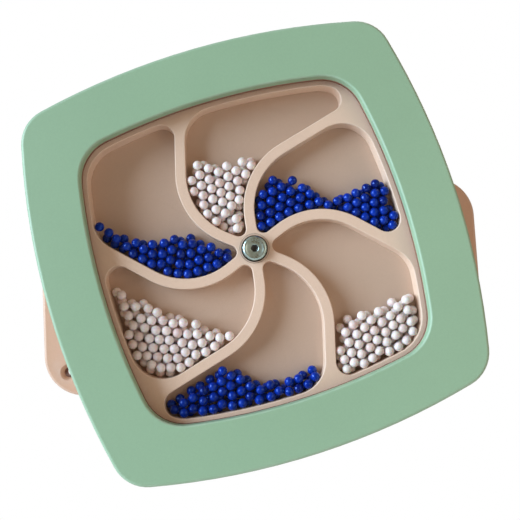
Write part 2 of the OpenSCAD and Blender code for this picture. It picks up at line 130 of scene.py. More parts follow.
class BeadSettings(bpy.types.PropertyGroup):
    """Colours of the beads"""
    blue: colour_setting("Blue", "Blue beads", (0.0012, 0.029, 0.370))
    blue_dark: colour_setting("Dark blue", "Darkest of the blue beads", (0.0008, 0.010, 0.170))
    white: colour_setting("White", "White beads", (0.900, 0.825, 0.810))
    white_warm: colour_setting("Warm white", "Warmest of the white beads", (0.820, 0.680, 0.650))
    blue_shine: colour_setting("Blue shine", "Tint of the blue beads' highlights", (0.25, 0.45, 1.0))
    white_shine: colour_setting("White shine", "Tint of the white beads' highlights", (1.0, 1.0, 1.0))
    seam: length_setting("Seam", "Height of a bead's moulding seam", 0.03 * MM)


class MetalSettings(bpy.types.PropertyGroup):
    """Colours and sizes of the fasteners"""
    steel: colour_setting("Steel", "Plated steel of the screws, washers and nut", (0.60, 0.62, 0.61))
    # The bolt's steel is tinted green as a painted reflection of the mint frame
    bolt: colour_setting("Bolt", "Plated steel of the pivot bolt", (0.58, 0.77, 0.75))
    nylon: colour_setting("Nylon", "Bush and spacer", (0.80, 0.79, 0.74))
    nut_ring: colour_setting("Nut ring", "Nylon ring in the lock nut", (0.05, 0.13, 0.42))
    socket_w: length_setting("Socket", "Bolt socket across its flats", 4.0 * MM)
    thread_pitch: length_setting("Thread pitch", "Pitch of the bolt's thread", 1.0 * MM)
    screw_pitch: length_setting("Screw pitch", "Pitch of the wood screws' thread", 1.8 * MM)


class StageSettings(bpy.types.PropertyGroup):
    """Camera, light and floor"""
    target: FloatVectorProperty(name="Target", description="Point in the middle of the picture", size=3,
                                subtype="XYZ", unit="LENGTH", default=(-0.0023, -0.047, 0.0131))
    distance: length_setting("Distance", "Distance of the camera from the target", 0.400)
    azimuth: FloatProperty(name="Azimuth", description="Turn of the camera round the toy", subtype="ANGLE",
                           default=math.radians(-1.97))
    elevation: FloatProperty(name="Elevation", description="Height of the camera as an angle", subtype="ANGLE",
                             default=math.radians(-4.31))
    roll: FloatProperty(name="Roll", description="Tilt of the camera", subtype="ANGLE", default=math.radians(-3.19))
    lens: FloatProperty(name="Lens", description="Focal length", default=47.35, min=1.0, unit="CAMERA")
    key_power: FloatProperty(name="Key light", description="Power of the light from the upper left", default=350.0,
                             min=0.0, unit="POWER")
    fill_power: FloatProperty(name="Fill light", description="Power of the light from the right", default=3.2,
                              min=0.0, unit="POWER")
    back_power: FloatProperty(name="Back light", description="Power of the light from behind", default=36.0,
                              min=0.0, unit="POWER")
    sky: share_setting("Sky", "Strength of the even light all round", 0.25)
    sky_colour: colour_setting("Sky colour", "Colour of the even light all round", (1.0, 0.70, 0.47))
    floor: colour_setting("Floor", "Floor of the studio", (0.86, 0.86, 0.86))
    floor_drop: length_setting("Floor drop", "Depth of the floor below the origin", 0.40)


class BeadWheelSettings(bpy.types.PropertyGroup):
    """All settings of the bead wheel"""
    boards: PointerProperty(name="Boards", description="Lacquered boards", type=BoardSettings)
    beads: PointerProperty(name="Beads", description="Loose beads", type=BeadSettings)
    metal: PointerProperty(name="Fasteners", description="Pivot and screws", type=MetalSettings)
    stage: PointerProperty(name="Stage", description="Camera, light and floor", type=StageSettings)


# Outlines read from the frame

def point_key(co):
    return tuple(round(c / WELD) for c in co)


def flat_outlines(node, y):
    """Outlines of a node's flat faces at depth y, as lists of (x, z), the widest first."""
    mesh = frame["nodes"][node].data
    edges = {}
    places = {}
    for face in mesh.polygons:
        corners = [mesh.vertices[i].co for i in face.vertices]
        if max(abs(co.y - y) for co in corners) > FLAT:
            continue
        keys = [point_key(co) for co in corners]
        places.update(zip(keys, corners))
        for start, end in zip(keys, keys[1:] + keys[:1]):
            if edges.get(end) is not None and start in edges[end]:
                edges[end].discard(start)
            else:
                edges.setdefault(start, set()).add(end)
    following = {start: next(iter(ends)) for start, ends in edges.items() if ends}
    outlines = []
    while following:
        at = min(following)
        outline = []
        while at in following:
            outline.append(Vector((places[at].x, places[at].z)))
            at = following.pop(at)
        outlines.append(outline)
    if not outlines:
        raise RuntimeError(f"{node} has no flat face at {y}")
    return sorted(outlines, key=width_of, reverse=True)


def width_of(outline):
    xs = [p.x for p in outline]
    return max(xs) - min(xs)


def middle_of(outline):
    xs = [p.x for p in outline]
    zs = [p.y for p in outline]
    return Vector(((min(xs) + max(xs)) / 2, (min(zs) + max(zs)) / 2))


def nearest(outlines, middle):
    return min(outlines, key=lambda outline: (middle_of(outline) - middle).length)


def anticlockwise(outline):
    area = sum(a.x * b.y - a.y * b.x for a, b in zip(outline, outline[1:] + outline[:1]))
    return outline if area > 0 else outline[::-1]


def grown(outline, by):
    """An anticlockwise outline moved outwards by a distance."""
    moved = []
    for before, at, after in zip(outline[-1:] + outline[:-1], outline, outline[1:] + outline[:1]):
        first = (at - before).normalized()
        second = (after - at).normalized()
        out_first = Vector((first.y, -first.x))
        out_second = Vector((second.y, -second.x))
        moved.append(at + (out_first + out_second) * (by / (1.0 + out_first.dot(out_second))))
    return moved


def round_outline(middle, radius, count):
    """A circle, or a closed curve whose radius is a function of the angle."""
    outline = []
    for i in range(count):
        angle = math.tau * i / count
        reach = radius(angle) if callable(radius) else radius
        outline.append(middle + reach * Vector((math.cos(angle), math.sin(angle))))
    return outline


# Meshes

class Skin:
    """A mesh built from rings of points. Its edge layer is 1 on rounded edges and 0 elsewhere."""

    def __init__(self):
        self.bm = bmesh.new()
        self.edge = self.bm.verts.layers.float.new("edge")

    def ring(self, outline, y, edge=0.0):
        verts = [self.bm.verts.new((p.x, y, p.y)) for p in outline]
        for vert in verts:
            vert[self.edge] = edge
        return verts

    def strip(self, first, second):
        for i in range(len(first)):
            j = (i + 1) % len(first)
            self.bm.faces.new((first[i], first[j], second[j], second[i]))

    def strips(self, rings):
        for first, second in zip(rings, rings[1:]):
            self.strip(first, second)
        return rings

    def paint(self, rings, index):
        """Gives the faces between rings another of the piece's materials."""
        inside = {vert for ring in rings for vert in ring}
        for face in {face for vert in inside for face in vert.link_faces}:
            if inside.issuperset(face.verts):
                face.material_index = index

    def cap(self, rings):
        """A flat face bounded by rings, the outer one and any holes."""
        edges = []
        for ring in rings:
            for a, b in zip(ring, ring[1:] + ring[:1]):
                edges.append(self.bm.edges.get((a, b)) or self.bm.edges.new((a, b)))
        bmesh.ops.triangle_fill(self.bm, use_beauty=True, use_dissolve=False, edges=edges, normal=FORWARD)

    def point(self, ring, place):
        """Closes a ring to a point, and gives the point."""
        tip = self.bm.verts.new(place)
        for a, b in zip(ring, ring[1:] + ring[:1]):
            self.bm.faces.new((a, b, tip))
        return tip

    def object(self, name, body, node, slot, *finishes):
        """Makes the piece that stands for a node of the frame."""
        bmesh.ops.recalc_face_normals(self.bm, faces=self.bm.faces[:])
        mesh = bpy.data.meshes.new(name)
        self.bm.to_mesh(mesh)
        self.bm.free()
        mesh.shade_smooth()
        piece = bpy.data.objects.new(name, mesh)
        bpy.context.scene.collection.objects.link(piece)
        for finish in finishes:
            mesh.materials.append(finish)
        normals = piece.modifiers.new("Even shading", "WEIGHTED_NORMAL")
        normals.weight = 80
        normals.keep_sharp = True
        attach(piece, body)
        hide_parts(node)


def rounded_steps(radius, steps):
    """Set-backs across and along a quarter round, from its flat face to its wall, and how much each is edge."""
    for i in range(steps + 1):
        angle = math.pi / 2 * i / steps
        yield radius * (1 - math.sin(angle)), radius * (1 - math.cos(angle)), math.sin(2 * angle)


def soft_wall(skin, outline, front, back, front_round, back_round, steps, hole=False):
    """Rings of a wall round an outline from its front to its back, with both edges rounded."""
    way = 1.0 if hole else -1.0
    rings = [skin.ring(grown(outline, way * across), front + along, edge)
             for across, along, edge in rounded_steps(front_round, steps)]
    rings += [skin.ring(grown(outline, way * across), back - along, edge)
              for across, along, edge in reversed(list(rounded_steps(back_round, BACK_STEPS)))]
    return skin.strips(rings)


def turned_rings(skin, profile, middle=AXIS, count=ROUND_COUNT):
    """Rings round a middle through a profile of (radius, y) or (radius, y, edge)."""
    return skin.strips([skin.ring(round_outline(middle, radius, count), y, *edge) for radius, y, *edge in profile])


def hexagon(across_flats, limit=math.inf):
    """Reach by angle of a hexagon with a corner at angle 0, kept within a circle."""
    def reach(angle):
        within = angle % (math.pi / 3) - math.pi / 6
        return min(across_flats / 2 / math.cos(within), limit)
    return reach


def soft_ring_profile(outer, inner, front, back, soft):
    """Closed profile of a washer or sleeve with softened edges."""
    return [(inner, front + soft), (inner + soft, front, 1.0), (outer - soft, front, 1.0), (outer, front + soft),
            (outer, back - soft), (outer - soft, back, 1.0), (inner + soft, back, 1.0), (inner, back - soft)]


# Materials

# Most of a noise's values lie between these
NOISE_LOW = 0.3
NOISE_HIGH = 0.7

# Colour sockets of the mix node
MIX_INPUTS = {"Factor": 0, "A": 6, "B": 7}
MIX_RESULT = 2


class Finish:
    """A material of nodes round one principled shader, placed by the object's own coordinates."""

    def __init__(self, name, **values):
        self.material = bpy.data.materials.new(name)
        self.material.use_nodes = True
        self.tree = self.material.node_tree
        self.surface = self.tree.nodes["Principled BSDF"]
        self.place = self.tree.nodes.new("ShaderNodeTexCoord").outputs["Object"]
        for socket, value in values.items():
            self.surface.inputs[socket.replace("_", " ")].default_value = value

    def node(self, kind, links=None, values=None, **settings):
        made = self.tree.nodes.new("ShaderNode" + kind)
        for key, value in settings.items():
            setattr(made, key, value)
        for socket, value in (values or {}).items():
            made.inputs[socket].default_value = value
        for socket, output in (links or {}).items():
            self.tree.links.new(output, made.inputs[socket])
        return made

    def to(self, socket, output):
        self.tree.links.new(output, self.surface.inputs[socket])

    def stretched(self, scale):
        return self.node("Mapping", {"Vector": self.place}, {"Scale": scale}).outputs["Vector"]

    def noise(self, scale, detail=2.0, place=None):
        return self.node("TexNoise", {"Vector": place or self.place},
                         {"Scale": scale, "Detail": detail, "Roughness": 0.5}).outputs["Fac"]

    def ramp(self, factor, stops):
        made = self.node("ValToRGB", {"Fac": factor})
        elements = made.color_ramp.elements
        while len(elements) < len(stops):
            elements.new(1.0)
        for element, (place, colour) in zip(elements, stops):
            element.position = place
            element.color = (*colour, 1.0)
        return made.outputs["Color"]

    def mixed(self, factor, first, second, blend_type="MIX"):
        made = self.node("Mix", data_type="RGBA", blend_type=blend_type)
        for key, value in (("Factor", factor), ("A", first), ("B", second)):
            socket = made.inputs[MIX_INPUTS[key]]
            if isinstance(value, bpy.types.NodeSocket):
                self.tree.links.new(value, socket)
            else:
                socket.default_value = value if key == "Factor" else (*value, 1.0)
        return made.outputs[MIX_RESULT]

    def spread(self, noise, first, second):
        """Colours between two, over most of a noise's values."""
        return self.ramp(noise, [(NOISE_LOW, first), (NOISE_HIGH, second)])

    def ranged(self, noise, low, high):
        """Numbers between two, over most of a noise's values."""
        return self.node("MapRange", {"Value": noise}, {"From Min": NOISE_LOW, "From Max": NOISE_HIGH,
                                                        "To Min": low, "To Max": high}).outputs["Result"]

    def edges(self):
        """The mesh's own layer, 1 on rounded edges."""
        return self.node("Attribute", attribute_name="edge").outputs["Fac"]

    def bump(self, height, strength, distance, normal=None):
        links = {"Height": height}
        if normal:
            links["Normal"] = normal
        return self.node("Bump", links, {"Strength": strength, "Distance": distance}).outputs["Normal"]


def shade(colour, share):
    """A colour made lighter or darker by a share."""
    return tuple(min(1.0, c * share) for c in colour)


def lacquered_board(name, colour, roughness):
    """Sprayed lacquer on board: cloudy by a shade, a fine orange-peel skin, and rounded edges paler, partly from wear
    and partly as a painted highlight.
    """
    finish = Finish(name, Specular_IOR_Level=0.42, Coat_Weight=0.08, Coat_Roughness=0.25)
    clouds = finish.spread(finish.noise(14.0, 3.0), shade(colour, 0.965), shade(colour, 1.03))
    specks = finish.ramp(finish.noise(900.0, 1.0), [(0.30, shade(colour, 0.95)), (0.72, shade(colour, 1.04))])
    body = finish.mixed(0.35, clouds, specks)
    rubbed = finish.ranged(finish.noise(120.0, 3.0), 0.05, 0.32)
    # Rounded edges turn paler, partly as wear of the lacquer and partly as a painted highlight
    wear_and_painted_highlight = finish.node("Math", {0: finish.edges(), 1: rubbed}, operation="MULTIPLY").outputs[0]
    pale_wear_and_painted_highlight = tuple(0.45 * c + 0.42 for c in colour)
    finish.to("Base Color", finish.mixed(wear_and_painted_highlight, body, pale_wear_and_painted_highlight))
    finish.to("Roughness", finish.ranged(finish.noise(240.0, 4.0), roughness - 0.03, roughness + 0.04))
    skin = finish.bump(finish.noise(650.0, 2.0), 0.12, 0.05 * MM)
    finish.to("Normal", finish.bump(finish.noise(9.0, 1.0), 0.10, 0.4 * MM, skin))
    return finish.material


def clear_sheet(name):
    """Clear acrylic: a see-through sheet that only shines, with a faint haze of wiping marks."""
    finish = Finish(name, Base_Color=(0.05, 0.055, 0.05, 1.0), IOR=1.49, Specular_IOR_Level=0.5)
    marks = finish.noise(1.0, 2.0, finish.stretched((320.0, 40.0, 90.0)))
    finish.to("Roughness", finish.ranged(marks, 0.03, 0.10))
    clear = finish.ranged(finish.noise(30.0, 2.0), 0.012, 0.026)
    frosted = finish.node("Math", {0: finish.edges()}, {1: 0.80}, operation="MULTIPLY").outputs[0]
    finish.to("Alpha", finish.node("Math", {0: clear, 1: frosted}, operation="MAXIMUM").outputs[0])
    return finish.material


def plated_steel(name, colour):
    """Zinc-plated steel with turning marks round the axis."""
    finish = Finish(name, Metallic=1.0)
    spread = finish.node("SeparateXYZ", {0: finish.place})
    middle = finish.node("CombineXYZ", {0: spread.outputs[0], 2: spread.outputs[2]})
    from_axis = finish.node("VectorMath", {0: middle.outputs[0]}, {1: (AXIS.x, 0.0, AXIS.y)}, operation="DISTANCE")
    turns = finish.node("TexNoise", {"W": from_axis.outputs["Value"]}, {"Scale": 4500.0, "Detail": 2.0},
                        noise_dimensions="1D").outputs["Fac"]
    blotches = finish.noise(420.0, 3.0)
    finish.to("Base Color", finish.spread(blotches, shade(colour, 0.82), shade(colour, 1.10)))
    finish.to("Roughness", finish.ranged(blotches, 0.24, 0.40))
    finish.to("Normal", finish.bump(turns, 0.22, 0.03 * MM))
    return finish.material


def moulded_nylon(name, colour):
    """Milky nylon with a faint flow pattern."""
    finish = Finish(name, Subsurface_Weight=0.15, Subsurface_Scale=1.0 * MM)
    flow = finish.noise(260.0, 3.0)
    finish.to("Base Color", finish.spread(flow, shade(colour, 0.94), shade(colour, 1.04)))
    finish.to("Roughness", finish.ranged(flow, 0.42, 0.55))
    finish.to("Normal", finish.bump(finish.noise(1800.0, 1.0), 0.10, 0.03 * MM))
    return finish.material


def bead_gloss(name, light, dark, shine, gloss, roughness, milky):
    """Polished plastic, each bead a shade of its own."""
    finish = Finish(name, Specular_IOR_Level=gloss, Specular_Tint=(*shine, 1.0), Subsurface_Weight=milky,
                    Subsurface_Scale=1.2 * MM)
    own = finish.node("NewGeometry").outputs["Random Per Island"]
    tint = finish.ramp(own, [(0.0, dark), (0.35, light), (0.80, light), (1.0, shade(light, 1.12))])
    swirl = finish.spread(finish.noise(500.0, 2.0), (0.93, 0.93, 0.93), (1.0, 1.0, 1.0))
    finish.to("Base Color", finish.mixed(1.0, tint, swirl, "MULTIPLY"))
    finish.to("Roughness", finish.ranged(finish.noise(800.0, 2.0), roughness - 0.04, roughness + 0.06))
    finish.to("Normal", finish.bump(finish.noise(1500.0, 2.0), 0.06, 0.02 * MM))
    return finish.material


def studio_floor(name, colour):
    """Matt pale floor with a faint cloudiness."""
    finish = Finish(name, Roughness=0.85, Specular_IOR_Level=0.2)
    finish.to("Base Color", finish.spread(finish.noise(3.0, 3.0), shade(colour, 0.99), shade(colour, 1.01)))
    return finish.material


def shared_finish(name, make, *values):
    return bpy.data.materials.get(name) or make(name, *values)


def mint_lacquer(settings):
    return shared_finish("mint_lacquer", lacquered_board, tuple(settings.boards.mint), 0.46)


def peach_lacquer(settings):
    return shared_finish("peach_lacquer", lacquered_board, tuple(settings.boards.peach), 0.48)


# A darker copy of the peach lacquer, painted shade for the pockets' floors
def deep_peach_lacquer(settings):
    return shared_finish("deep_peach_lacquer", lacquered_board, tuple(settings.boards.deep_peach), 0.52)


# Dark brown finish, painted shade in holes and at the window's foot
def bare_board(settings):
    return shared_finish("bare_board", lacquered_board, tuple(settings.boards.bare), 0.70)


# A darker, warmer copy of the peach, painted shade on the wall plate
def tan_lacquer(settings):
    return shared_finish("tan_lacquer", lacquered_board, tuple(settings.boards.tan), 0.48)


def steel_plating(settings):
    return shared_finish("steel_plating", plated_steel, tuple(settings.metal.steel))


# Steel darkened to an eighth, as painted shade: in the bolt's socket, in the screws' cross recesses and on the washer
# round the bolt's head
def dull_steel(settings):
    return shared_finish("dull_steel", plated_steel, shade(tuple(settings.metal.steel), 0.12))


def milky_nylon(settings):
    return shared_finish("milky_nylon", moulded_nylon, tuple(settings.metal.nylon))


# Pieces

class PieceOperator:
    """What the operators share"""
    bl_options = {"REGISTER", "UNDO"}


class BEADWHEEL_OT_wall_plate(PieceOperator, bpy.types.Operator):
    """Builds the wall plate with rounded edges, countersunk holes and the nut's recess"""
    bl_idname = "beadwheel.wall_plate"
    bl_label = "Wall Plate"

    def execute(self, context):
        settings = context.scene.bead_wheel
        boards = settings.boards
        low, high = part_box("wall_plate")
        outer, *holes = flat_outlines("wall_plate", high.y)
        mouths = flat_outlines("wall_plate", low.y)[1:]
        skin = Skin()
        rings = soft_wall(skin, anticlockwise(outer), low.y, high.y, boards.plate_round, boards.arris,
                          boards.round_steps)
        fronts, backs = [rings[0]], [rings[-1]]
        for hole in holes:
            middle = middle_of(hole)
            radius, mouth = width_of(hole) / 2, width_of(nearest(mouths, middle)) / 2
            profile = self.screw_hole if mouth > radius else self.nut_recess
            rings = turned_rings(skin, profile(low.y, high.y, radius, mouth), middle)
            # The holes' walls past the mouth take the dark brown as painted shade
            skin.paint(rings[2:], SECOND_FINISH)
            fronts.append(rings[0])
            backs.append(rings[-1])
        skin.cap(fronts)
        skin.cap(backs)
        skin.object("wall_board", "mount", "wall_plate", "peach_board", tan_lacquer(settings), bare_board(settings))
        return {"FINISHED"}

    def screw_hole(self, front, back, radius, mouth):
        """Profile of a countersunk hole."""
        lip, sink = 0.2 * MM, 0.1 * MM
        return [(mouth + lip, front, 1.0), (mouth, front + sink, 1.0), (radius, front + (mouth - radius)),
                (radius, back - lip), (radius + lip, back)]

    def nut_recess(self, front, back, radius, mouth):
        """Profile of the bolt's hole, which widens to the nut's recess behind."""
        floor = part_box("nut_washer")[0].y
        lip, back_lip = 0.2 * MM, 0.3 * MM
        return [(mouth + lip, front), (mouth, front + lip), (mouth, floor), (radius, floor),
                (radius, back - back_lip, 1.0), (radius + back_lip, back, 1.0)]


class BEADWHEEL_OT_back_board(PieceOperator, bpy.types.Operator):
    """Builds the back board with its hub hole and screw holes"""
    bl_idname = "beadwheel.back_board"
    bl_label = "Back Board"

    def execute(self, context):
        settings = context.scene.bead_wheel
        boards = settings.boards
        low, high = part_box("back_board")
        outer, *mouths = flat_outlines("back_board", high.y)
        bores = flat_outlines("back_board", low.y)[1:]
        skin = Skin()
        rings = soft_wall(skin, anticlockwise(outer), low.y, high.y, boards.arris, boards.back_round, SMALL_STEPS)
        fronts, backs = [rings[0]], [rings[-1]]
        for outline in mouths:
            middle = middle_of(outline)
            radius, mouth = width_of(nearest(bores, middle)) / 2, width_of(outline) / 2
            rings = turned_rings(skin, self.hole(low.y, high.y, radius, mouth), middle)
            fronts.append(rings[0])
            backs.append(rings[-1])
        skin.cap(fronts)
        skin.cap(backs)
        # The board's front faces, the pockets' floors, take the darker peach as painted shade
        for face in skin.bm.faces:
            if max(vert.co.y for vert in face.verts) < low.y + FLAT:
                face.material_index = SECOND_FINISH
        skin.object("back_panel", "wheel", "back_board", "peach_board", peach_lacquer(settings),
                    deep_peach_lacquer(settings))
        return {"FINISHED"}

    def hole(self, front, back, radius, mouth):
        """Profile of a countersunk screw hole, or of the hub's hole with a step for the bush's flange."""
        lip = 0.1 * MM
        shoulder = [(radius, back - (mouth - radius))]
        if mouth > SCREW_REACH:
            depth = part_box("hub_bush")[1].y - back + BUSH_FLANGE
            shoulder = [(radius, back - depth), (mouth, back - depth)]
        return [(radius, front), *shoulder, (mouth, back - lip, 1.0), (mouth + lip, back, 1.0)]


class BEADWHEEL_OT_vane_board(PieceOperator, bpy.types.Operator):
    """Builds the vane board, whose pockets have softened front edges"""
    bl_idname = "beadwheel.vane_board"
    bl_label = "Vane Board"

    def execute(self, context):
        settings = context.scene.bead_wheel
        boards = settings.boards
        hole_round, foot_round = 0.3 * MM, 0.1 * MM
        low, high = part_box("vane_board")
        outer, *openings = flat_outlines("vane_board", low.y)
        skin = Skin()
        rings = soft_wall(skin, anticlockwise(outer), low.y, high.y, boards.arris, boards.arris, SMALL_STEPS)
        fronts, backs = [rings[0]], [rings[-1]]
        for opening in openings:
            soft = boards.pocket_round if width_of(opening) > POCKET_LEAST else hole_round
            rings = soft_wall(skin, anticlockwise(opening), low.y, high.y, soft, foot_round, boards.round_steps,
                              hole=True)
            fronts.append(rings[0])
            backs.append(rings[-1])
        skin.cap(fronts)
        skin.cap(backs)
        skin.object("vane_tray", "wheel", "vane_board", "peach_board", peach_lacquer(settings))
        return {"FINISHED"}


class BEADWHEEL_OT_front_frame(PieceOperator, bpy.types.Operator):
    """Builds the front frame with rounded edges, the pane's rebate and the screws' bores"""
    bl_idname = "beadwheel.front_frame"
    bl_label = "Front Frame"

    def execute(self, context):
        settings = context.scene.bead_wheel
        boards = settings.boards
        low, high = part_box("front_frame")
        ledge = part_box("window_pane")[0].y
        outer, *openings = flat_outlines("front_frame", high.y)
        rebate, window = [anticlockwise(outline) for outline in flat_outlines("front_frame", ledge)[:2]]
        skin = Skin()
        outside = soft_wall(skin, anticlockwise(outer), low.y, high.y, boards.frame_round, boards.arris,
                            boards.round_steps)
        inside = [skin.ring(grown(window, across), low.y + along, edge)
                  for across, along, edge in rounded_steps(boards.window_round, boards.round_steps)]
        foot = [skin.ring(window, ledge - boards.bare_foot), skin.ring(window, ledge), skin.ring(rebate, ledge),
                skin.ring(rebate, high.y)]
        skin.strips(inside + foot)
        # The window wall's foot and the rebate take the dark brown as painted shade
        skin.paint(foot, SECOND_FINISH)
        skin.cap([outside[0], inside[0]])
        backs = [outside[-1], foot[-1]]
        for bore in openings:
            if width_of(bore) < 2 * SCREW_REACH:
                backs.append(self.blind_bore(skin, middle_of(bore), width_of(bore) / 2, high.y))
        skin.cap(backs)
        skin.object("mint_frame", "wheel", "front_frame", "mint_board", mint_lacquer(settings), bare_board(settings))
        return {"FINISHED"}

    def blind_bore(self, skin, middle, radius, back):
        """Bores a screw's hole with a drill's point, and gives its mouth."""
        room = 1.0 * MM
        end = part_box("frame_screws")[0].y - room
        rings = turned_rings(skin, [(radius, back), (radius, end)], middle, SCREW_COUNT)
        skin.point(rings[-1], (middle.x, end - room, middle.y))
        return rings[0]


class BEADWHEEL_OT_window_pane(PieceOperator, bpy.types.Operator):
    """Builds the clear pane with polished edges and a hole round the bolt head"""
    bl_idname = "beadwheel.window_pane"
    bl_label = "Window Pane"

    def execute(self, context):
        polish, gap = 0.3 * MM, 0.05 * MM
        outer_haze, hole_haze = 1.0, 0.3
        low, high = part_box("window_pane")
        outer, hole = [anticlockwise(outline) for outline in flat_outlines("window_pane", low.y)[:2]]
        skin = Skin()
        outside = soft_wall(skin, outer, low.y, high.y - gap, polish, polish, SMALL_STEPS)
        inside = soft_wall(skin, hole, low.y, high.y - gap, polish, polish, SMALL_STEPS, hole=True)
        for rings, haze in ((outside, outer_haze), (inside, hole_haze)):
            for vert in (vert for ring in rings[2:-1] for vert in ring):
                vert[skin.edge] = haze
        skin.cap([outside[0], inside[0]])
        skin.cap([outside[-1], inside[-1]])
        skin.object("clear_window", "wheel", "window_pane", "clear_pane", shared_finish("clear_acrylic", clear_sheet))
        return {"FINISHED"}


class BEADWHEEL_OT_pivot(PieceOperator, bpy.types.Operator):
    """Builds the pivot: bolt, washers, sleeve, spacer, bush and lock nut"""
    bl_idname = "beadwheel.pivot"
    bl_label = "Pivot"

    def execute(self, context):
        settings = context.scene.bead_wheel
        steel, nylon = steel_plating(settings), milky_nylon(settings)
        dyed = shared_finish("dyed_nylon", moulded_nylon, tuple(settings.metal.nut_ring))
        self.bolt(settings)
        # The head washer takes the darkened steel as painted shade round the bolt's head
        self.ring("head_washer", "thin_washer", "steel", dull_steel(settings), 0.15 * MM)
        self.ring("nut_washer", "back_washer", "steel", steel, 0.2 * MM)
        self.ring("pivot_sleeve", "bearing_sleeve", "steel", steel, 0.2 * MM)
        self.ring("rear_spacer", "spacer_disc", "nylon", nylon, 0.5 * MM)
        self.ring("lock_nut_ring", "locking_ring", "nut_ring", dyed, 0.15 * MM)
        self.bush(nylon)
        self.nut(steel)
        return {"FINISHED"}

    def radii(self, node, y):
        """Radii of a node's flat ring at depth y, the outer and the inner."""
        outlines = flat_outlines(node, y)
        return width_of(outlines[0]) / 2, width_of(outlines[-1]) / 2

    def ring(self, node, name, slot, finish, soft):
        """A washer, sleeve or disc on the bolt, with softened edges."""
        low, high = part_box(node)
        outer, inner = self.radii(node, high.y)
        skin = Skin()
        rings = turned_rings(skin, soft_ring_profile(outer, inner, low.y, high.y, soft))
        skin.strip(rings[-1], rings[0])
        skin.object(name, "mount", node, slot, finish)

    def bolt(self, settings):
        metal = settings.metal
        socket_tip = 2.1 * MM
        low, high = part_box("pivot_bolt")
        shank = width_of(flat_outlines("pivot_bolt", high.y)[0]) / 2
        skin = Skin()
        head = turned_rings(skin, self.head_profile(metal.socket_w, (high.x - low.x) / 2, shank, low.y))
        tip = skin.point(head[0], (AXIS.x, low.y + socket_tip, AXIS.y))
        # The socket takes the darkened steel as painted shade
        skin.paint([[tip], *head[:3]], SECOND_FINISH)
        shaft = turned_rings(skin, self.shaft_profile(metal.thread_pitch, shank, high.y))
        skin.strip(head[-1], shaft[0])
        skin.point(shaft[-1], (AXIS.x, high.y, AXIS.y))
        # Green-tinted steel, a painted reflection of the mint frame
        plating = shared_finish("bolt_plating", plated_steel, tuple(metal.bolt))
        skin.object("socket_bolt", "mount", "pivot_bolt", "steel", plating, dull_steel(settings))

    def head_profile(self, socket, head, shank, face):
        """Profile of the bolt's head: its socket, dish, flat rim, bevel and underside."""
        bevel, dish, soft = 0.9 * MM, 0.25 * MM, 0.15 * MM
        rim, floor = head - bevel, face + dish
        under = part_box("head_washer")[0].y
        hollow = [(hexagon(0.6 * socket), face + 1.8 * MM), (hexagon(socket), face + 1.7 * MM),
                  (hexagon(socket), floor + 0.25 * MM), (0.60 * socket, floor + 0.04 * MM, 1.0),
                  (0.64 * socket, floor)]
        slope = [(rim - 2.0 * MM, floor), (rim - 1.8 * MM, floor - 0.05 * MM),
                 (rim - 1.1 * MM, face + 0.07 * MM, 1.0), (rim - 0.9 * MM, face, 1.0)]
        outside = [(rim - 0.2 * MM, face), (rim, face + 0.05 * MM, 1.0), (head - 0.35 * MM, face + 0.4 * MM, 1.0),
                   (head - 0.1 * MM, face + bevel, 1.0), (head, face + bevel + soft)]
        return [*hollow, *slope, *outside, (head, under - soft), (head - soft, under), (shank, under)]

    def shaft_profile(self, pitch, shank, end):
        """Profile of the bolt's shaft: plain through the wheel, then threaded up to its end."""
        depth, lead, bevel = 0.5 * MM, 0.5 * MM, 0.8 * MM
        rows_in_turn = 8
        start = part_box("wall_plate")[0].y
        rows = rows_in_turn * round((end - start) / pitch)
        profile = [(shank, start - lead)]
        for row in range(rows + 1):
            y = start + (end - bevel - start) * row / rows
            profile.append((self.thread(shank, depth * min(1.0, row / rows_in_turn), y / pitch), y))
        return [*profile, (shank - depth - 0.1 * MM, end)]

    def thread(self, radius, depth, turns):
        """Reach of a thread by angle where it has run through a number of turns."""
        def reach(angle):
            phase = (turns - angle / math.tau) % 1.0
            return radius - depth * abs(2.0 * phase - 1.0)
        return reach

    def bush(self, nylon):
        soft = 0.2 * MM
        low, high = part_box("hub_bush")
        flange, inner = self.radii("hub_bush", high.y)
        outer = self.radii("hub_bush", low.y)[0]
        shoulder = high.y - BUSH_FLANGE
        skin = Skin()
        rings = turned_rings(skin, [
            (inner, low.y + soft), (inner + soft, low.y, 1.0), (outer - soft, low.y, 1.0), (outer, low.y + soft),
            (outer, shoulder), (flange - soft, shoulder), (flange, shoulder + soft), (flange, high.y - soft),
            (flange - soft, high.y, 1.0), (inner + soft, high.y, 1.0), (inner, high.y - soft)])
        skin.strip(rings[-1], rings[0])
        skin.object("hub_liner", "wheel", "hub_bush", "nylon", nylon)

    def nut(self, steel):
        chamfer, sink, lip = 0.5 * MM, 0.3 * MM, 0.1 * MM
        low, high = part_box("lock_nut")
        collar, seat = self.radii("lock_nut", high.y)
        bore = self.radii("lock_nut", low.y)[1]
        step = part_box("lock_nut_ring")[0].y
        flats = min(high.x - low.x, high.z - low.z)
        sides, turned_sides = hexagon(flats), hexagon(flats, 0.99 * flats / 2)
        skin = Skin()
        rings = turned_rings(skin, [
            (bore + sink, low.y), (turned_sides, low.y, 1.0), (sides, low.y + chamfer), (sides, step - chamfer),
            (turned_sides, step, 1.0), (collar, step), (collar, high.y - lip), (collar - lip, high.y, 1.0),
            (seat, high.y), (seat, step), (bore, step), (bore, low.y + sink)])
        skin.strip(rings[-1], rings[0])
        skin.object("hex_lock_nut", "mount", "lock_nut", "steel", steel)


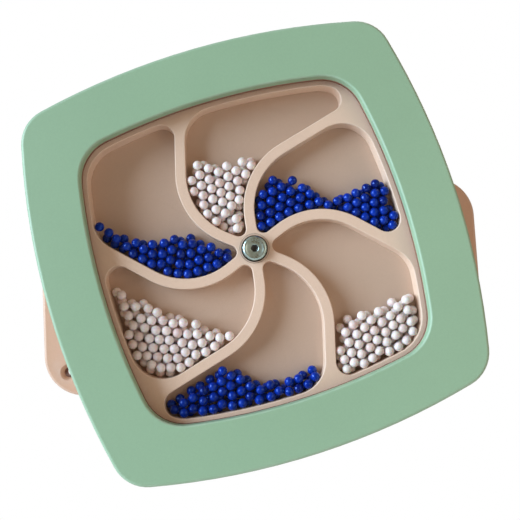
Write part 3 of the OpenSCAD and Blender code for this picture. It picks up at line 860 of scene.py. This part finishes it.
class BEADWHEEL_OT_frame_screws(PieceOperator, bpy.types.Operator):
    """Builds the wood screws with cross recesses and threads"""
    bl_idname = "beadwheel.frame_screws"
    bl_label = "Frame Screws"

    def execute(self, context):
        settings = context.scene.bead_wheel
        low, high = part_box("frame_screws")
        heads = flat_outlines("frame_screws", high.y)
        shank = width_of(flat_outlines("frame_screws", low.y)[0]) / 2
        draws = random.Random(11)
        skin = Skin()
        for outline in sorted(heads, key=lambda outline: tuple(middle_of(outline))):
            middle, head = middle_of(outline), width_of(outline) / 2
            recess = self.recess(skin, middle, high.y, draws.uniform(0.0, 90.0))
            profile = self.profile(settings.metal.screw_pitch, head, shank, low.y, high.y)
            rings = turned_rings(skin, profile, middle, SCREW_COUNT)
            skin.cap([rings[0], recess])
            skin.cap([rings[-1]])
        skin.object("wood_screws", "wheel", "frame_screws", "steel", steel_plating(settings), dull_steel(settings))
        return {"FINISHED"}

    def recess(self, skin, middle, top, turn):
        """Sinks a cross recess into a head, and gives its mouth."""
        depth = 1.5 * MM
        rings = skin.strips([skin.ring(self.cross(middle, 2.2 * MM, 0.55 * MM, turn), top, 1.0),
                             skin.ring(self.cross(middle, 1.3 * MM, 0.35 * MM, turn), top - depth)])
        skin.cap([rings[-1]])
        # The cross recess takes the darkened steel as painted shade
        skin.paint(rings, SECOND_FINISH)
        return rings[0]

    def cross(self, middle, arm, half, turn):
        """Outline of a cross by the length and half the width of its arms."""
        corners = [(half, arm), (-half, arm), (-half, half), (-arm, half), (-arm, -half), (-half, -half),
                   (-half, -arm), (half, -arm), (half, -half), (arm, -half), (arm, half), (half, half)]
        spin = Matrix.Rotation(math.radians(turn), 2)
        return [middle + spin @ Vector(corner) for corner in corners]

    def profile(self, pitch, head, shank, tip, top):
        """Profile of a screw: countersunk head, plain shank and a thread that tapers to the tip."""
        rows_in_turn = 6
        plain = 5.0 * MM
        core = 0.68 * shank
        neck = top - (head - shank)
        start = neck - plain
        rows = rows_in_turn * round((start - tip) / pitch)
        profile = [(head - 0.15 * MM, top, 1.0), (head, top - 0.1 * MM, 1.0), (shank, neck), (shank, start)]
        for row in range(1, rows + 1):
            y = start + (tip - start) * row / rows
            taper = min(1.0, 4.0 * (1.0 - row / rows) + 0.08)
            profile.append((self.thread(core * taper, shank * taper, y / pitch), y))
        return profile

    def thread(self, core, crest, turns):
        """Reach of a narrow thread by angle where it has run through a number of turns."""
        def reach(angle):
            phase = (turns - angle / math.tau) % 1.0
            return core + (crest - core) * max(0.0, 1.0 - 5.0 * abs(phase - 0.5))
        return reach


class BeadOperator(PieceOperator):
    """Makes each ball of the frame a bead with a moulding seam, turned at random"""
    # Latitudes of a bead's rings as shares of a right angle, closer together at the poles and at the seam
    latitudes = (-0.94, -0.82, -0.65, -0.45, -0.24, -0.06, 0.0, 0.06, 0.24, 0.45, 0.65, 0.82, 0.94)

    def balls(self, node):
        """Middles and radii of a node's separate balls."""
        bm = bmesh.new()
        bm.from_mesh(frame["nodes"][node].data)
        bmesh.ops.remove_doubles(bm, verts=bm.verts[:], dist=WELD)
        bm.verts.ensure_lookup_table()
        found, seen = [], set()
        for vert in bm.verts:
            if vert.index in seen:
                continue
            island, waiting = [], [vert]
            seen.add(vert.index)
            while waiting:
                at = waiting.pop()
                island.append(at.co)
                for link in at.link_edges:
                    other = link.other_vert(at)
                    if other.index not in seen:
                        seen.add(other.index)
                        waiting.append(other)
            low = Vector(min(co[i] for co in island) for i in range(3))
            high = Vector(max(co[i] for co in island) for i in range(3))
            found.append(((low + high) / 2, (high.z - low.z) / 2))
        bm.free()
        return sorted(found, key=lambda ball: tuple(ball[0]))

    def pile(self, node, name, slot, finish, seam):
        draws = random.Random(name)
        skin = Skin()
        for centre, radius in self.balls(node):
            spin = Euler([draws.uniform(0.0, math.tau) for _ in range(3)]).to_matrix()
            rings = []
            for share in self.latitudes:
                angle = share * math.pi / 2
                reach = radius if share == 0.0 else radius - seam
                ring = []
                for i in range(BEAD_COUNT):
                    turn = math.tau * i / BEAD_COUNT
                    way = Vector((math.cos(turn) * math.cos(angle), math.sin(turn) * math.cos(angle), math.sin(angle)))
                    ring.append(skin.bm.verts.new(centre + spin @ (way * reach)))
                rings.append(ring)
            skin.strips(rings)
            skin.point(rings[0], centre + spin @ Vector((0.0, 0.0, seam - radius)))
            skin.point(rings[-1], centre + spin @ Vector((0.0, 0.0, radius - seam)))
        skin.object(name, "wheel", node, slot, finish)


class BEADWHEEL_OT_blue_beads(BeadOperator, bpy.types.Operator):
    """Builds the three piles of blue beads"""
    bl_idname = "beadwheel.blue_beads"
    bl_label = "Blue Beads"

    def execute(self, context):
        beads = context.scene.bead_wheel.beads
        gloss, roughness, milky = 0.80, 0.13, 0.0
        finish = shared_finish("blue_gloss", bead_gloss, tuple(beads.blue), tuple(beads.blue_dark),
                               tuple(beads.blue_shine), gloss, roughness, milky)
        for place in ("upper_right", "upper_left", "bottom"):
            self.pile("blue_beads_" + place, "blue_balls_" + place, "blue_beads", finish, beads.seam)
        return {"FINISHED"}


class BEADWHEEL_OT_white_beads(BeadOperator, bpy.types.Operator):
    """Builds the three piles of white beads"""
    bl_idname = "beadwheel.white_beads"
    bl_label = "White Beads"

    def execute(self, context):
        beads = context.scene.bead_wheel.beads
        gloss, roughness, milky = 0.45, 0.30, 0.25
        finish = shared_finish("white_gloss", bead_gloss, tuple(beads.white), tuple(beads.white_warm),
                               tuple(beads.white_shine), gloss, roughness, milky)
        for place in ("top", "lower_left", "lower_right"):
            self.pile("white_beads_" + place, "white_balls_" + place, "white_beads", finish, beads.seam)
        return {"FINISHED"}


class BEADWHEEL_OT_stage(PieceOperator, bpy.types.Operator):
    """Sets up the floor, the lights and the camera"""
    bl_idname = "beadwheel.stage"
    bl_label = "Stage"

    def execute(self, context):
        stage = context.scene.bead_wheel.stage
        target = Vector(stage.target)
        self.floor(stage)
        self.sky(stage)
        self.light("key_light", (-3.93, -1.84, 0.97), target, 3.3, stage.key_power, (0.69, 0.85, 1.0))
        self.light("fill_light", (0.9, -0.9, 0.15), target, 1.0, stage.fill_power, (1.0, 0.86, 0.72))
        self.light("back_light", (0.8, 1.8, 1.5), target, 2.4, stage.back_power, (1.0, 1.0, 1.0))
        self.camera(stage, target)
        context.scene.view_settings.view_transform = "Standard"
        return {"FINISHED"}

    def floor(self, stage):
        radius, count = 0.8, 96
        bm = bmesh.new()
        rim = round_outline(Vector((0.0, 0.0)), radius, count)
        bm.faces.new([bm.verts.new((p.x, p.y, -stage.floor_drop)) for p in rim])
        mesh = bpy.data.meshes.new("studio_floor")
        bm.to_mesh(mesh)
        bm.free()
        mesh.materials.append(studio_floor("studio_floor", tuple(stage.floor)))
        floor = bpy.data.objects.new("studio_floor", mesh)
        bpy.context.scene.collection.objects.link(floor)

    def sky(self, stage):
        """Even light all round, and plain white behind the toy."""
        world = bpy.data.worlds.new("studio_sky")
        world.use_nodes = True
        tree = world.node_tree
        even = tree.nodes["Background"]
        even.inputs["Color"].default_value = (*stage.sky_colour, 1.0)
        even.inputs["Strength"].default_value = stage.sky
        seen = tree.nodes.new("ShaderNodeBackground")
        seen.inputs["Color"].default_value = (1.0, 1.0, 1.0, 1.0)
        path = tree.nodes.new("ShaderNodeLightPath")
        choice = tree.nodes.new("ShaderNodeMixShader")
        tree.links.new(path.outputs["Is Camera Ray"], choice.inputs[0])
        tree.links.new(even.outputs[0], choice.inputs[1])
        tree.links.new(seen.outputs[0], choice.inputs[2])
        tree.links.new(choice.outputs[0], tree.nodes["World Output"].inputs["Surface"])
        bpy.context.scene.world = world

    def light(self, name, place, target, width, power, colour):
        data = bpy.data.lights.new(name, "AREA")
        data.shape = "DISK"
        data.size = width
        data.energy = power
        data.color = colour
        lamp = bpy.data.objects.new(name, data)
        lamp.location = place
        lamp.rotation_euler = (target - Vector(place)).to_track_quat("-Z", "Y").to_euler()
        bpy.context.scene.collection.objects.link(lamp)

    def camera(self, stage, target):
        data = bpy.data.cameras.new("photo_camera")
        data.lens = stage.lens
        data.sensor_width = 36.0
        data.clip_start = 0.01
        camera = bpy.data.objects.new("photo_camera", data)
        azimuth, elevation = stage.azimuth, stage.elevation
        back = Vector((math.sin(azimuth) * math.cos(elevation), -math.cos(azimuth) * math.cos(elevation),
                       math.sin(elevation)))
        right = (-back).cross(Vector((0.0, 0.0, 1.0))).normalized()
        up = right.cross(-back)
        tilt = Matrix.Rotation(stage.roll, 3, back)
        turn = Matrix((tilt @ right, tilt @ up, back)).transposed()
        camera.matrix_world = Matrix.Translation(target + back * stage.distance) @ turn.to_4x4()
        bpy.context.scene.collection.objects.link(camera)
        bpy.context.scene.camera = camera


# Panel and add-on

PIECES = (
    BEADWHEEL_OT_wall_plate, BEADWHEEL_OT_back_board, BEADWHEEL_OT_vane_board, BEADWHEEL_OT_front_frame,
    BEADWHEEL_OT_window_pane, BEADWHEEL_OT_pivot, BEADWHEEL_OT_frame_screws, BEADWHEEL_OT_blue_beads,
    BEADWHEEL_OT_white_beads, BEADWHEEL_OT_stage,
)


class BEADWHEEL_PT_panel(bpy.types.Panel):
    """Lists the pieces and the settings"""
    bl_idname = "BEADWHEEL_PT_panel"
    bl_label = "Bead Wheel"
    bl_space_type = "VIEW_3D"
    bl_region_type = "UI"
    bl_category = "Bead Wheel"

    def draw(self, context):
        settings = context.scene.bead_wheel
        for group in (settings.boards, settings.beads, settings.metal, settings.stage):
            box = self.layout.box()
            box.label(text=group.bl_rna.description)
            for name in group.__annotations__:
                box.prop(group, name)
        for piece in PIECES:
            self.layout.operator(piece.bl_idname)


CLASSES = (BoardSettings, BeadSettings, MetalSettings, StageSettings, BeadWheelSettings, *PIECES, BEADWHEEL_PT_panel)


def register():
    for cls in CLASSES:
        bpy.utils.register_class(cls)
    bpy.types.Scene.bead_wheel = PointerProperty(name="Bead wheel", description="Settings of the bead wheel",
                                                 type=BeadWheelSettings)


def unregister():
    del bpy.types.Scene.bead_wheel
    for cls in reversed(CLASSES):
        bpy.utils.unregister_class(cls)


def main():
    register()
    bpy.ops.beadwheel.wall_plate()
    bpy.ops.beadwheel.back_board()
    bpy.ops.beadwheel.vane_board()
    bpy.ops.beadwheel.front_frame()
    bpy.ops.beadwheel.window_pane()
    bpy.ops.beadwheel.pivot()
    bpy.ops.beadwheel.frame_screws()
    bpy.ops.beadwheel.blue_beads()
    bpy.ops.beadwheel.white_beads()
    bpy.ops.beadwheel.stage()


if __name__ == "__main__":
    main()
